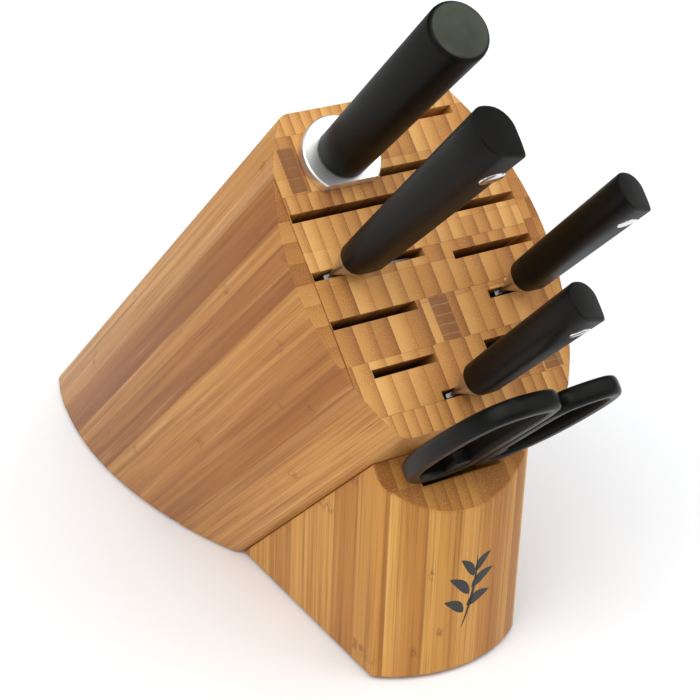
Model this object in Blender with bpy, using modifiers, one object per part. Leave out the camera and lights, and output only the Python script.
"""Slanted bamboo knife block on a pedestal, with three knives, a honing steel and shears in it.

Metres, +Z up, front towards -Y. The slotted face leans back: in the face frame, x runs across the block,
y runs up the face and z points out of it, along the knives. Face-frame heights are measured from its centre.
"""

import math

import bmesh
import bpy
from mathutils import Matrix, Vector

MM = 0.001

# ---- the block ----
TILT = math.radians(45.5)  # the knives' lean from upright, and the face's slope
CORE_WIDTH = 112 * MM  # across the stacked boards, between the two cheek seams
CHEEK_THICKNESS = 9 * MM  # at the widest
FACE_WIDTH = CORE_WIDTH + 2 * CHEEK_THICKNESS
FACE_HEIGHT = 150.5 * MM
SIDE_RADIUS = 138 * MM  # the barrel curve of both sides
CORNER_RADIUS = 7 * MM
FACE_CENTRE_HEIGHT = 191 * MM  # above the table
FOOT_HEIGHT = 2 * MM  # the rubber feet lift the wood this far
GLUE_GAP = 0.2 * MM  # glue line between two pieces of wood

# Seams between the stacked boards, from the top one down, as heights on the face.
BOARD_SEAMS = [65.2 * MM, 38.5 * MM, 30.4 * MM, 3.6 * MM, -18.7 * MM, -39.5 * MM, -63.6 * MM]

# ---- the slots: left end, right end, height on the face, depth ----
SLOT_THICKNESS = 3.9 * MM
SEAM_X = CORE_WIDTH / 2 - 0.2 * MM
SLOTS = {
    "top_short": (14 * MM, 42.3 * MM, 63.2 * MM, 270 * MM),
    "upper_right": (-6.2 * MM, 42 * MM, 40.6 * MM, 250 * MM),
    "left_long": (-SEAM_X, 6 * MM, 28.4 * MM, 250 * MM),
    "right_long": (16 * MM, SEAM_X, 17.5 * MM, 230 * MM),
    "chef": (-SEAM_X, 0.3 * MM, 1.6 * MM, 226 * MM),
    "right_middle": (14.1 * MM, SEAM_X, -3.2 * MM, 215 * MM),
    "left_middle": (-SEAM_X, -13.1 * MM, -20.7 * MM, 195 * MM),
    "utility": (23.6 * MM, SEAM_X, -24.0 * MM, 175 * MM),
    "left_small": (-45.6 * MM, -13.8 * MM, -45.0 * MM, 160 * MM),
    "right_small": (11.9 * MM, 43.7 * MM, -45.1 * MM, 160 * MM),
    "paring": (-17.5 * MM, 15.3 * MM, -61.6 * MM, 140 * MM),
}

# ---- the pedestal under the block's front ----
PEDESTAL_WIDTH = 81 * MM
PEDESTAL_FRONT = 47 * MM  # its foremost line, ahead of the face's centre
PEDESTAL_RADIUS = 65.5 * MM  # the curve of its front
PEDESTAL_CORNER = 5 * MM
PEDESTAL_TOP_DROP = 37 * MM  # how far behind the slotted face its top starts
PEDESTAL_TOP_EXTRA = math.radians(4)  # its top is this much steeper than the face
SHEARS_SLOT_WIDTH = 41.5 * MM
SHEARS_SLOT_THICKNESS = 10 * MM
SHEARS_SLOT_X = 1 * MM
SHEARS_SLOT_DROP = 10.55 * MM  # from the face's lowest edge to the slot's middle
SHEARS_SLOT_HEIGHT = -FACE_HEIGHT / 2 - SHEARS_SLOT_DROP
SHEARS_SLOT_DEPTH = 119 * MM  # below the pedestal's top

# ---- rubber feet ----
FOOT_RADIUS = 5.5 * MM
FRONT_FEET = (29 * MM, -22 * MM)  # half spacing, and place along Y from the face's centre
BACK_FEET = (34 * MM, 236 * MM)

# ---- honing steel ----
STEEL_X = -23.4 * MM
STEEL_HEIGHT = 50.7 * MM
STEEL_HOLE_RADIUS = 7 * MM
ROD_RADIUS = 6 * MM
ROD_LENGTH = 228 * MM
STEEL_TANG_RADIUS = 4 * MM
STEEL_TANG_LENGTH = 40 * MM
STEEL_COLLAR_RADIUS = 18.5 * MM
STEEL_COLLAR_THICKNESS = 5.6 * MM
COLLAR_FLAT = 13.2 * MM  # from the axis to the collar's one flat
STEEL_HANDLE_LENGTH = 111 * MM
STEEL_HANDLE_RADII = (11.8 * MM, 13.4 * MM)  # at the collar and at the butt
BUTT_ROUNDING = 2.6 * MM

# ---- knives ----
FIT = 0.15 * MM  # clearance all round a tang, pin or inlay
REST_GAP = 0.3 * MM  # between a piece and what it rests on
BOLSTER_DEPTH = 2 * MM  # bolster inside the slot
BOLSTER_EXTRA = 0.5 * MM  # how much thicker than the blade the bolster is there
# Shares of the bolster's length, and of the way from its slot thickness to the handle's.
BOLSTER_FLARE = ((0, 0), (0.14, 0.02), (0.3, 0.2), (0.5, 0.46), (0.72, 0.74), (0.9, 0.94), (1, 1))
HEEL = 6 * MM  # the blade's heel, below the slotted face
CHEF = {
    "slot": "chef", "spine_x": -48.4 * MM, "centre_x": -39.3 * MM, "blade_height": 45 * MM,
    "blade_length": 203 * MM, "blade_thickness": 2.2 * MM, "tip_share": 0.42, "handle_length": 123.6 * MM,
    "neck_size": (17.4 * MM, 15.0 * MM), "butt_size": (25.0 * MM, 21.4 * MM), "neck": 12.6 * MM,
    "lean": 0.0, "rise": 0.0, "slant": math.radians(24),
    "emblem": (11.5 * MM, 8.5 * MM), "emblem_x": 5.2 * MM, "emblem_from_butt": 22 * MM,
}
UTILITY = {
    "slot": "utility", "spine_x": 29.6 * MM, "centre_x": 37.4 * MM, "blade_height": 24 * MM,
    "blade_length": 152 * MM, "blade_thickness": 1.9 * MM, "tip_share": 0.5, "handle_length": 88.9 * MM,
    "neck_size": (15.4 * MM, 15.0 * MM), "butt_size": (20.6 * MM, 17.0 * MM), "neck": 11.2 * MM,
    "lean": 0.6 * MM, "rise": 1.7 * MM, "slant": math.radians(30),
    "emblem": (9.5 * MM, 7.0 * MM), "emblem_x": 2.0 * MM, "emblem_from_butt": 14 * MM,
}
PARING = dict(
    UTILITY, slot="paring", spine_x=-13.4 * MM, centre_x=-5.4 * MM, blade_height=21 * MM, blade_length=88 * MM,
    neck=12.2 * MM, lean=0.0
)
TANG_WIDTH = 7.5 * MM
TANG_SHARE = 0.62  # of the handle's length
EMBLEM_PROUD = 0.5 * MM
EMBLEM_DEPTH = 1.3 * MM

# ---- shears ----
SHEARS_BLADE_THICKNESS = 1.7 * MM
SHEARS_BLADE_LENGTH = 100 * MM  # from the pivot to the tip
PIVOT_DEPTH = 9 * MM  # the pivot's place below the pedestal's top
PIVOT_RADIUS = 2.4 * MM
PIVOT_HEAD = (5 * MM, 0.5 * MM)  # radius and thickness
LOOP_SIZES = {"left": (46 * MM, 102 * MM), "right": (38.5 * MM, 90 * MM)}  # outside width and length
LOOP_THICKNESS = 9 * MM
LOOP_WALL = (6.2 * MM, 7 * MM)  # along the sides and round the ends
LOOP_REST = 2.2 * MM  # the loops' lowest point above the pedestal's top
LOOP_SPLIT = 0.8 * MM  # from the middle to either handle
GRIP_ROOT = 19 * MM  # solid length at the bottom of each grip
SHEARS_TANG = (9 * MM, 15 * MM)
# A loop's outline as shares of its width and length, from the bottom of its inner side round to the start.
LOOP_OUTLINE = (
    (0.0, 0.14), (0.0, 0.35), (0.0, 0.6), (0.01, 0.8), (0.08, 0.92), (0.24, 0.97), (0.48, 0.995), (0.69, 0.985),
    (0.86, 0.92), (0.96, 0.8), (1.0, 0.65), (1.0, 0.48), (0.95, 0.31), (0.83, 0.16), (0.65, 0.055), (0.43, 0.005),
    (0.2, 0.005), (0.05, 0.05),
)

COLOURS = {
    "bamboo_face": ((0.62, 0.36, 0.15, 1), 0.5, 0),
    "bamboo_side": ((0.47, 0.24, 0.09, 1), 0.5, 0),
    "bamboo_pedestal": ((0.6, 0.33, 0.12, 1), 0.5, 0),
    "clear_rubber": ((0.75, 0.75, 0.72, 1), 0.35, 0),
    "black_handle": ((0.012, 0.012, 0.01, 1), 0.4, 0),
    "steel": ((0.55, 0.56, 0.57, 1), 0.3, 1),
    "satin_collar": ((0.8, 0.8, 0.79, 1), 0.35, 1),
    "chrome": ((0.85, 0.85, 0.86, 1), 0.1, 1),
    "shears_grip": ((0.014, 0.015, 0.013, 1), 0.35, 0),
}


def clear_scene():
    for obj in list(bpy.data.objects):
        bpy.data.objects.remove(obj, do_unlink=True)


def collection(name):
    made = bpy.data.collections.new(name)
    bpy.context.scene.collection.children.link(made)
    return made


def material(name, node_name):
    """The named finish as this piece's own material."""
    colour, roughness, metallic = COLOURS[name]
    made = bpy.data.materials.new(node_name)
    made.use_nodes = True
    shader = made.node_tree.nodes["Principled BSDF"]
    shader.inputs["Base Color"].default_value = colour
    shader.inputs["Roughness"].default_value = roughness
    shader.inputs["Metallic"].default_value = metallic
    made.diffuse_color = colour
    return made


def empty(name, parent=None, location=(0, 0, 0), rotation=(0, 0, 0)):
    made = bpy.data.objects.new(name, None)
    made.location = location
    made.rotation_euler = rotation
    made.parent = parent
    made.empty_display_size = 0.02
    PIECES.objects.link(made)
    return made


def mesh_object(name, shape, parent, finish=None, location=(0, 0, 0)):
    """A bmesh as a piece, or as a cutter when it has no finish."""
    bmesh.ops.recalc_face_normals(shape, faces=shape.faces)
    data = bpy.data.meshes.new(name)
    shape.to_mesh(data)
    shape.free()
    made = bpy.data.objects.new(name, data)
    made.parent = parent
    made.location = location
    if finish:
        data.materials.append(material(finish, name))
        PIECES.objects.link(made)
    else:
        made.hide_render = True
        made.display_type = "WIRE"
        CUTTERS.objects.link(made)
    return made


def box(low, high):
    """An axis-aligned box between two corners."""
    shape = bmesh.new()
    bmesh.ops.create_cube(shape, size=1)
    size = Vector(high) - Vector(low)
    centre = (Vector(high) + Vector(low)) / 2
    bmesh.ops.transform(shape, matrix=Matrix.Translation(centre) @ Matrix.Diagonal((*size, 1)), verts=shape.verts)
    return shape


def prism(outline, low, high):
    """A closed outline in x and y, drawn out along z."""
    shape = bmesh.new()
    face = shape.faces.new([shape.verts.new((x, y, low)) for x, y in outline])
    made = bmesh.ops.extrude_face_region(shape, geom=[face])
    moved = [item for item in made["geom"] if isinstance(item, bmesh.types.BMVert)]
    bmesh.ops.translate(shape, vec=(0, 0, high - low), verts=moved)
    return shape


def lathe(profile, steps=48):
    """A profile of (radius, z) points, turned once about z."""
    shape = bmesh.new()
    points = [shape.verts.new((radius, 0, z)) for radius, z in profile]
    edges = [shape.edges.new(pair) for pair in zip(points, points[1:])]
    bmesh.ops.spin(
        shape, geom=points + edges, axis=(0, 0, 1), cent=(0, 0, 0), steps=steps, angle=2 * math.pi, use_merge=True
    )
    bmesh.ops.remove_doubles(shape, verts=shape.verts, dist=1e-6)
    return shape


def loft(rings, closed=False):
    """Skins rings of equal length; the ends are capped, or joined to each other when closed."""
    shape = bmesh.new()
    rows = [[shape.verts.new(point) for point in ring] for ring in rings]
    pairs = list(zip(rows, rows[1:]))
    if closed:
        pairs.append((rows[-1], rows[0]))
    for first, second in pairs:
        for i in range(len(first)):
            j = (i + 1) % len(first)
            shape.faces.new((first[i], first[j], second[j], second[i]))
    if not closed:
        shape.faces.new(list(reversed(rows[0])))
        shape.faces.new(rows[-1])
    return shape


def boolean(target, cutter, operation="DIFFERENCE"):
    modifier = target.modifiers.new(cutter.name, "BOOLEAN")
    modifier.operation = operation
    modifier.solver = "EXACT"
    modifier.object = cutter


def bevel(target, width, segments=2, angle=30):
    modifier = target.modifiers.new("rounding", "BEVEL")
    modifier.width = width
    modifier.segments = segments
    modifier.limit_method = "ANGLE"
    modifier.angle_limit = math.radians(angle)


def arc(centre, radius, start, end, steps):
    """Points along an arc, both ends included; angles in radians."""
    found = []
    for i in range(steps + 1):
        angle = start + (end - start) * i / steps
        found.append((centre[0] + radius * math.cos(angle), centre[1] + radius * math.sin(angle)))
    return found


def barrel_outline(inset=0.0):
    """The face's outline: flat top and bottom, curved sides and rounded corners."""
    top = FACE_HEIGHT / 2 - inset
    side = SIDE_RADIUS - inset
    shift = FACE_WIDTH / 2 - SIDE_RADIUS  # the right-hand curve's centre
    corner = CORNER_RADIUS - inset
    corner_y = top - corner
    corner_x = shift + math.sqrt((side - corner) ** 2 - corner_y**2)
    meet = math.atan2(corner_y, corner_x - shift)
    quarter = arc((shift, 0), side, 0, meet, 12)[:-1] + arc((corner_x, corner_y), corner, meet, math.pi / 2, 5)
    upper = quarter + [(-x, y) for x, y in reversed(quarter)]
    return upper + [(x, -y) for x, y in reversed(upper)][1:-1]


def pedestal_outline():
    """The pedestal's footprint, with y measured back from the face's centre."""
    half = PEDESTAL_WIDTH / 2
    centre_y = -PEDESTAL_FRONT + PEDESTAL_RADIUS
    corner_x = half - PEDESTAL_CORNER
    corner_y = centre_y - math.sqrt((PEDESTAL_RADIUS - PEDESTAL_CORNER) ** 2 - corner_x**2)
    meet = math.atan2(corner_y - centre_y, corner_x)
    front = arc((0, centre_y), PEDESTAL_RADIUS, -math.pi / 2, meet, 10)[1:-1]
    corner = arc((corner_x, corner_y), PEDESTAL_CORNER, meet, 0, 5)
    right = front + corner + [(half, block_reach(-FACE_HEIGHT / 2)[0] + 5 * MM)]
    return [(0, -PEDESTAL_FRONT)] + right + [(-x, y) for x, y in reversed(right)]


def block_reach(height):
    """Where a line into the block, at this height on the face, meets the block's underside: (y, length)."""
    length = (height * math.sin(TILT) + FACE_CENTRE_HEIGHT - FOOT_HEIGHT) / math.cos(TILT)
    return height * math.cos(TILT) + length * math.sin(TILT), length


def build_boards(face, level):
    """The stacked core boards and the two cheeks, all cut to the barrel and to the table."""
    deepest = block_reach(FACE_HEIGHT / 2)[1] + 60 * MM
    form = mesh_object("block_form", prism(barrel_outline(), -deepest, 0), face)
    floor = mesh_object("block_floor", box((-0.2, -0.3, -0.3), (0.2, 0.6, FOOT_HEIGHT)), level)
    cutters = {}
    for name, (left, right, height, depth) in SLOTS.items():
        half = SLOT_THICKNESS / 2
        shape = box((left, height - half, -depth), (right, height + half, 10 * MM))
        cutters[name] = (height, mesh_object("slot_" + name, shape, face))
    hole = bmesh.new()
    bmesh.ops.create_cone(
        hole, cap_ends=True, segments=32, radius1=STEEL_HOLE_RADIUS, radius2=STEEL_HOLE_RADIUS, depth=260 * MM
    )
    bmesh.ops.translate(hole, vec=(STEEL_X, STEEL_HEIGHT, -120 * MM), verts=hole.verts)
    cutters["steel"] = (STEEL_HEIGHT, mesh_object("slot_steel", hole, face))

    levels = [FACE_HEIGHT / 2 + 5 * MM] + BOARD_SEAMS + [-FACE_HEIGHT / 2 - 5 * MM]
    half_core = CORE_WIDTH / 2 - GLUE_GAP / 2
    for number, (top, bottom) in enumerate(zip(levels, levels[1:]), 1):
        shape = box((-half_core, bottom + GLUE_GAP / 2, -deepest), (half_core, top - GLUE_GAP / 2, 0.01))
        board = mesh_object(f"core_board_{number}", shape, face, "bamboo_face")
        boolean(board, form, "INTERSECT")
        boolean(board, floor)
        for height, cutter in cutters.values():
            if bottom < height < top:
                boolean(board, cutter)
    for side, name in ((-1, "left_cheek"), (1, "right_cheek")):
        inner = CORE_WIDTH / 2 + GLUE_GAP / 2
        ends = sorted((side * inner, side * (FACE_WIDTH / 2 + 0.01)))
        shape = box((ends[0], -0.1, -deepest), (ends[1], 0.1, 0.01))
        cheek = mesh_object(name, shape, face, "bamboo_side")
        boolean(cheek, form, "INTERSECT")
        boolean(cheek, floor)


def build_pedestal(face, level):
    """The vertical-grain prop under the front, glued up from four pieces round the shears' slanted slot."""
    outline = prism(pedestal_outline(), FOOT_HEIGHT, FACE_CENTRE_HEIGHT)
    form = mesh_object("pedestal_form", outline, level)
    underside = -FACE_HEIGHT / 2 - GLUE_GAP
    above = mesh_object("above_underside", box((-0.2, underside, -0.5), (0.2, 0.3, 0.3)), face)
    boolean(form, above)
    top = empty("pedestal_top", face, (0, -FACE_HEIGHT / 2, -PEDESTAL_TOP_DROP), (PEDESTAL_TOP_EXTRA, 0, 0))
    boolean(form, mesh_object("above_pedestal", box((-0.2, -0.2, 0), (0.2, 0.1, 0.3)), top))

    left = SHEARS_SLOT_X - SHEARS_SLOT_WIDTH / 2
    right = SHEARS_SLOT_X + SHEARS_SLOT_WIDTH / 2
    front = SHEARS_SLOT_HEIGHT - SHEARS_SLOT_THICKNESS / 2  # the slot's wall nearer the front
    back = SHEARS_SLOT_HEIGHT + SHEARS_SLOT_THICKNESS / 2
    slot_end = -PEDESTAL_TOP_DROP - SHEARS_SLOT_DEPTH
    slot = mesh_object("slot_shears", box((left, front, slot_end), (right, back, 0)), face)
    reach = 0.4
    spans = {
        "pedestal_left": ((-reach, -reach), (left, reach)),
        "pedestal_right": ((right, -reach), (reach, reach)),
        "pedestal_front": ((left + GLUE_GAP, -reach), (right - GLUE_GAP, front)),
        "pedestal_back": ((left + GLUE_GAP, front + GLUE_GAP), (right - GLUE_GAP, reach)),
    }
    for name, (low, high) in spans.items():
        piece = mesh_object(name, box((*low, -reach), (*high, reach)), face, "bamboo_pedestal")
        boolean(piece, form, "INTERSECT")
        if name == "pedestal_back":
            boolean(piece, slot)


def build_feet(level):
    """Four clear stick-on bumpers."""
    for place, (half, y) in (("front", FRONT_FEET), ("back", BACK_FEET)):
        for side, x in (("left", -half), ("right", half)):
            top = FOOT_HEIGHT - GLUE_GAP
            side_profile = [(FOOT_RADIUS * 0.7, 0), (FOOT_RADIUS * 0.92, top * 0.3), (FOOT_RADIUS, top)]
            profile = [(0, 0)] + side_profile + [(0, top)]
            mesh_object(f"foot_{place}_{side}", lathe(profile, 32), level, "clear_rubber", (x, y, 0))


def build_steel(face):
    """Honing steel: rod with its tang, collar with one flat, and a turned handle."""
    axis = empty("honing_steel", face, (STEEL_X, STEEL_HEIGHT, 0))
    shoulder = REST_GAP - FIT
    cone = 3 * MM
    tang_end = STEEL_COLLAR_THICKNESS + STEEL_TANG_LENGTH
    rod = [
        (0, -ROD_LENGTH), (ROD_RADIUS * 0.55, -ROD_LENGTH), (ROD_RADIUS, cone - ROD_LENGTH), (ROD_RADIUS, shoulder),
        (STEEL_TANG_RADIUS, shoulder), (STEEL_TANG_RADIUS, tang_end), (0, tang_end),
    ]
    mesh_object("steel_rod", lathe(rod, 32), axis, "steel")
    bore = STEEL_TANG_RADIUS + FIT
    low, high = REST_GAP, REST_GAP + STEEL_COLLAR_THICKNESS
    edge = 0.6 * MM
    ring = [
        (bore, low), (STEEL_COLLAR_RADIUS - edge, low), (STEEL_COLLAR_RADIUS, low + edge),
        (STEEL_COLLAR_RADIUS, high - edge), (STEEL_COLLAR_RADIUS - edge, high), (bore, high), (bore, low),
    ]
    collar = mesh_object("steel_collar", lathe(ring, 64), axis, "satin_collar")
    flat = mesh_object("collar_flat", box((-0.03, -0.03, -0.01), (0.03, -COLLAR_FLAT, 0.02)), axis)
    boolean(collar, flat)
    start = high + GLUE_GAP
    end = start + STEEL_HANDLE_LENGTH
    small, large = STEEL_HANDLE_RADII
    profile = [(bore, start), (small - 0.8 * MM, start), (small, start + 0.8 * MM)]
    for share in (0.25, 0.5, 0.75):
        profile.append((small + (large - small) * share, start + (end - start - BUTT_ROUNDING) * share))
    profile += arc((large - BUTT_ROUNDING, end - BUTT_ROUNDING), BUTT_ROUNDING, 0, math.pi / 2, 4)
    profile += [(0, end), (0, tang_end + REST_GAP), (bore, tang_end + REST_GAP), (bore, start)]
    mesh_object("steel_handle", lathe(profile, 40), axis, "black_handle")


def handle_ring(width, thickness, inset, count=32):
    """A D-shaped section: rounded all round, with a ridge where the edge side meets the front."""
    half_x = width / 2 - inset
    half_y = thickness / 2 - inset
    found = []
    for i in range(count):
        angle = 2 * math.pi * (i + 0.5) / count
        turned = (math.degrees(angle) - 315 + 180) % 360 - 180
        power = 2 / (2.35 + 5.5 * math.exp(-((turned / 36) ** 2)))
        cosine = math.cos(angle)
        sine = math.sin(angle)
        x = half_x * math.copysign(abs(cosine) ** power, cosine)
        y = half_y * math.copysign(abs(sine) ** power, sine)
        found.append((x, y))
    return found


def knife_handle(knife, start, end):
    """Lofts the handle from its square-cut neck end to its slanted, eased butt."""
    rounding = 1.2 * MM
    stations = [(0.0, 0.9 * MM), (0.006, 0.25 * MM), (0.015, 0)]
    stations += [(share, 0) for share in (0.12, 0.25, 0.4, 0.55, 0.7, 0.85)]
    rings = []
    for share, inset in stations + [(1.0, 0)]:
        eased = share**0.85
        width = knife["neck_size"][0] + (knife["butt_size"][0] - knife["neck_size"][0]) * eased
        thick = knife["neck_size"][1] + (knife["butt_size"][1] - knife["neck_size"][1]) * eased
        ring = []
        for x, y in handle_ring(width, thick, inset):
            butt = end - rounding - math.tan(knife["slant"]) * x
            ring.append((x, y + knife["rise"] * (0.3 + 0.7 * eased), start + (butt - start) * share))
        rings.append(ring)
    for angle in (30, 60, 90):
        inset = rounding * (1 - math.cos(math.radians(angle)))
        lift = rounding * math.sin(math.radians(angle))
        ring = []
        for x, y in handle_ring(*knife["butt_size"], inset):
            ring.append((x, y + knife["rise"], end - rounding + lift - math.tan(knife["slant"]) * x))
        rings.append(ring)
    return loft(rings)


def blade_ring(spine, edge, z, thickness, fine):
    """One cross-section of a blade: a flat back that thins towards the edge, with its own edge thickness."""
    middle = spine + (edge - spine) * 0.45
    half = thickness / 2
    return [
        (spine, half, z), (spine, -half, z), (middle, -half, z), (edge, -fine / 2, z), (edge, fine / 2, z),
        (middle, half, z),
    ]


def knife_blade(knife, spine, height, tang_end):
    """Blade, heel and tang as one loft from the tip up."""
    thick = knife["blade_thickness"]
    length = knife["blade_length"]
    rings = []
    steps = 12
    for i in range(steps + 1):
        share = (i + 0.12) / (steps + 0.12)  # a blunt little tip, not a point
        belly = min(1.0, share / knife["tip_share"])
        curve = math.sin(belly * math.pi / 2) ** 0.75
        drop = height * 0.28 * (1 - min(1.0, share / 0.75)) ** 2  # the spine falls to the tip
        edge = spine + drop + (height - drop) * curve
        thin = thick * (0.45 + 0.55 * min(1.0, share / 0.5))
        rings.append(blade_ring(spine + drop, edge, -length + (length - HEEL) * share, thin, 0.25 * MM))
    half = TANG_WIDTH / 2
    rings.append(blade_ring(spine, spine + height * 0.97, -HEEL + 0.8 * MM, thick, 0.35 * MM))
    rings.append(blade_ring(spine, half, -HEEL + 1.8 * MM, thick, thick))
    rings.append(blade_ring(-half, half, -BOLSTER_DEPTH - 0.8 * MM, thick, thick))
    rings.append(blade_ring(-half, half, tang_end, thick, thick))
    return loft(rings)


def build_knife(name, knife, face):
    """One knife in its slot: blade with tang, flared bolster, handle and inlaid emblem."""
    height = SLOTS[knife["slot"]][2] + knife["lean"]
    axis = empty(name, face, (knife["centre_x"], height, 0))
    rise = knife["rise"]
    spine = knife["spine_x"] - knife["centre_x"]
    start = knife["neck"]
    end = start + knife["handle_length"]
    tang_end = start + knife["handle_length"] * TANG_SHARE
    mesh_object(name + "_blade", knife_blade(knife, spine, knife["blade_height"], tang_end), axis, "steel")

    half = TANG_WIDTH / 2 + FIT
    thin = knife["blade_thickness"] / 2 + FIT
    tang_room = box((-half, -thin, -0.01), (half, thin, tang_end + REST_GAP))
    room = mesh_object(name + "_tang_room", tang_room, axis)
    neck_width, neck_thick = knife["neck_size"]
    slot_fit = knife["blade_thickness"] + BOLSTER_EXTRA
    rings = []
    for share, ease in BOLSTER_FLARE:
        width = neck_width - 1.6 * MM
        thick = slot_fit + (neck_thick - 1.6 * MM - slot_fit) * ease
        z = -BOLSTER_DEPTH + (start - GLUE_GAP + BOLSTER_DEPTH) * share
        rings.append([(x, y + rise * 0.3 * ease, z) for x, y in handle_ring(width, thick, 0, 24)])
    bolster = mesh_object(name + "_bolster", loft(rings), axis, "steel")
    boolean(bolster, room)

    handle = mesh_object(name + "_handle", knife_handle(knife, start, end), axis, "black_handle")
    boolean(handle, room)

    # the emblem lies in the front side, near the butt
    across, along = knife["emblem"]
    place = end - knife["emblem_from_butt"]
    share = (place - start) / (end - start)
    thickness = neck_thick + (knife["butt_size"][1] - neck_thick) * share**0.85
    front = rise - thickness / 2
    for grow, kind in ((FIT, None), (0, "chrome")):
        shape = bmesh.new()
        depth = EMBLEM_DEPTH + (4 * MM if kind is None else EMBLEM_PROUD)
        bmesh.ops.create_cone(shape, cap_ends=True, segments=32, radius1=0.5, radius2=0.5, depth=1)
        size = Matrix.Diagonal((across + 2 * grow, along + 2 * grow, depth, 1))
        turn = Matrix.Rotation(math.radians(90), 4, "X")
        middle = front + EMBLEM_DEPTH - depth / 2 + (grow if kind is None else 0)
        where = Matrix.Translation((knife["emblem_x"], middle, place))
        bmesh.ops.transform(shape, matrix=where @ turn @ size, verts=shape.verts)
        made = mesh_object(name + ("_emblem" if kind else "_emblem_room"), shape, axis, kind)
        if kind:
            bevel(made, 0.35 * MM, 2, 40)
        else:
            boolean(handle, made)


def smooth_closed(points, steps):
    """A smooth closed curve through the points, as (place, outward normal) pairs; the points run clockwise."""
    found = []
    count = len(points)
    for i in range(count):
        before, first, second, after = (Vector(points[(i + k) % count]) for k in (-1, 0, 1, 2))
        for k in range(steps):
            t = k / steps
            pull = second - before
            place = first + pull * t / 2 + (before - first * 2.5 + second * 2 - after / 2) * t**2
            place += ((first - second) * 1.5 + (after - before) / 2) * t**3
            slope = pull / 2 + (before - first * 2.5 + second * 2 - after / 2) * 2 * t
            slope += ((first - second) * 1.5 + (after - before) / 2) * 3 * t**2
            found.append((place, Vector((-slope.y, slope.x)).normalized()))
    return found


def shears_loop(side, name, low):
    """One finger loop: a rounded bar swept just inside the loop's outline."""
    width, length = LOOP_SIZES[name]
    side_wall, end_wall = LOOP_WALL
    outline = [(across * width, along * length) for across, along in LOOP_OUTLINE]
    rings = []
    for place, outward in smooth_closed(outline, 3):
        wall = side_wall + (end_wall - side_wall) * abs(outward.y)
        ring = []
        for k in range(16):
            turn = 2 * math.pi * (k + 0.5) / 16
            push = (math.copysign(abs(math.cos(turn)) ** 0.62, math.cos(turn)) - 1) * wall / 2
            lift = math.copysign(abs(math.sin(turn)) ** 0.62, math.sin(turn)) * LOOP_THICKNESS / 2
            x, z = place + outward * push
            ring.append((side * (LOOP_SPLIT + x), lift, low + z))
        rings.append(ring)
    return loft(rings, closed=True)


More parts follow.
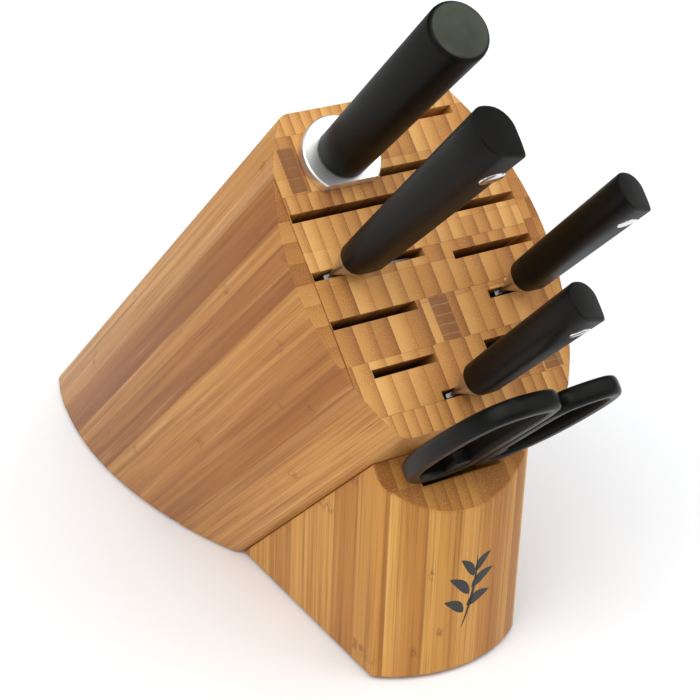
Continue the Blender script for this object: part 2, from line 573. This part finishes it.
def build_shears(face):
    """Kitchen shears: two blades crossing at the pivot, two looped grips, a pivot screw and its nut."""
    top_here = -PEDESTAL_TOP_DROP + math.tan(PEDESTAL_TOP_EXTRA) * (SHEARS_SLOT_HEIGHT + FACE_HEIGHT / 2)
    pivot_z = top_here - PIVOT_DEPTH
    pivot = empty("shears_pivot", face, (SHEARS_SLOT_X, SHEARS_SLOT_HEIGHT, pivot_z))
    low = PIVOT_DEPTH + LOOP_REST
    tang_width, tang_length = SHEARS_TANG
    thick = SHEARS_BLADE_THICKNESS
    gap = 0.05 * MM
    pin_fit = PIVOT_RADIUS + 0.08 * MM
    hole = bmesh.new()
    bmesh.ops.create_cone(
        hole, cap_ends=True, segments=32, radius1=pin_fit, radius2=pin_fit, depth=30 * MM
    )
    bmesh.ops.rotate(hole, matrix=Matrix.Rotation(math.radians(90), 3, "X"), verts=hole.verts)
    pin_room = mesh_object("pivot_room", hole, pivot)
    for side, name in ((-1, "left"), (1, "right")):
        # the left grip's blade passes behind the pivot and cuts on the right, and the other way round
        inner = side * (LOOP_SPLIT + 2.2 * MM)
        outline = [
            (inner, low + tang_length), (inner + side * tang_width, low + tang_length),
            (inner + side * tang_width, low - 1 * MM), (side * 8 * MM, -2 * MM), (side * 3 * MM, -9 * MM),
            (side * 1.2 * MM, -14 * MM), (side * 0.6 * MM, -SHEARS_BLADE_LENGTH * 0.6),
            (-side * 0.6 * MM, -SHEARS_BLADE_LENGTH), (-side * 3 * MM, -SHEARS_BLADE_LENGTH + 4 * MM),
            (-side * 7.5 * MM, -SHEARS_BLADE_LENGTH * 0.62), (-side * 9.6 * MM, -SHEARS_BLADE_LENGTH * 0.22),
            (-side * 8.2 * MM, -1 * MM), (-side * 5 * MM, 5 * MM), (inner, low - 1 * MM),
        ]
        ends = sorted((-side * gap, -side * (gap + thick)))
        shape = prism([(x, -z) for x, z in outline], *ends)
        bmesh.ops.rotate(shape, matrix=Matrix.Rotation(math.radians(-90), 3, "X"), verts=shape.verts)
        blade = mesh_object(f"shears_{name}_blade", shape, pivot, "steel")
        boolean(blade, pin_room)

        grip = mesh_object(f"shears_{name}_handle", shears_loop(side, name, low), pivot, "shears_grip")
        ends = sorted((side * LOOP_SPLIT, inner + side * (tang_width + 2.5 * MM)))
        deep = LOOP_THICKNESS * 0.4
        root = box((ends[0], -deep, low - 0.2 * MM), (ends[1], deep, low + GRIP_ROOT))
        root_block = mesh_object(f"{name}_grip_root", root, pivot)
        bevel(root_block, 1.6 * MM, 2)
        boolean(grip, root_block, "UNION")
        ends = sorted((inner - side * FIT, inner + side * (tang_width + FIT)))
        across = sorted((-side * (gap - FIT), -side * (gap + thick + FIT)))
        tang = box((ends[0], across[0], low - 5 * MM), (ends[1], across[1], low + tang_length + REST_GAP))
        boolean(grip, mesh_object(f"{name}_tang_room", tang, pivot))

    head_radius, head_thick = PIVOT_HEAD
    face_y = gap + thick + gap
    screw = [
        (0, -face_y - head_thick), (head_radius - 0.3 * MM, -face_y - head_thick), (head_radius, -face_y - 0.2 * MM),
        (head_radius, -face_y), (PIVOT_RADIUS, -face_y), (PIVOT_RADIUS, face_y + head_thick), (0, face_y + head_thick),
    ]
    bore = PIVOT_RADIUS + 0.1 * MM
    nut = [
        (bore, face_y), (head_radius, face_y), (head_radius, face_y + 0.3 * MM),
        (head_radius - 0.3 * MM, face_y + head_thick), (bore, face_y + head_thick), (bore, face_y),
    ]
    for name, profile in (("pivot_screw", screw), ("pivot_nut", nut)):
        shape = lathe(profile, 32)
        bmesh.ops.rotate(shape, matrix=Matrix.Rotation(math.radians(-90), 3, "X"), verts=shape.verts)
        mesh_object(name, shape, pivot, "steel")


def centre_on_origin(root):
    """Moves the whole object so that the origin is at the middle of its bounding box's base."""
    bpy.context.view_layer.update()
    graph = bpy.context.evaluated_depsgraph_get()
    reach = []
    for obj in PIECES.objects:
        if obj.type == "MESH":
            solid = obj.evaluated_get(graph)
            mesh = solid.to_mesh()
            reach += [(solid.matrix_world @ vertex.co).y for vertex in mesh.vertices]
            solid.to_mesh_clear()
    root.location.y = -(min(reach) + max(reach)) / 2


clear_scene()
PIECES = collection("knife_block")
CUTTERS = collection("cutters")
block = empty("block")
slotted_face = empty("slotted_face", block, (0, 0, FACE_CENTRE_HEIGHT), (TILT, 0, 0))
build_boards(slotted_face, block)
build_pedestal(slotted_face, block)
build_feet(block)
build_steel(slotted_face)
build_knife("chef", CHEF, slotted_face)
build_knife("utility", UTILITY, slotted_face)
build_knife("paring", PARING, slotted_face)
build_shears(slotted_face)
centre_on_origin(block)
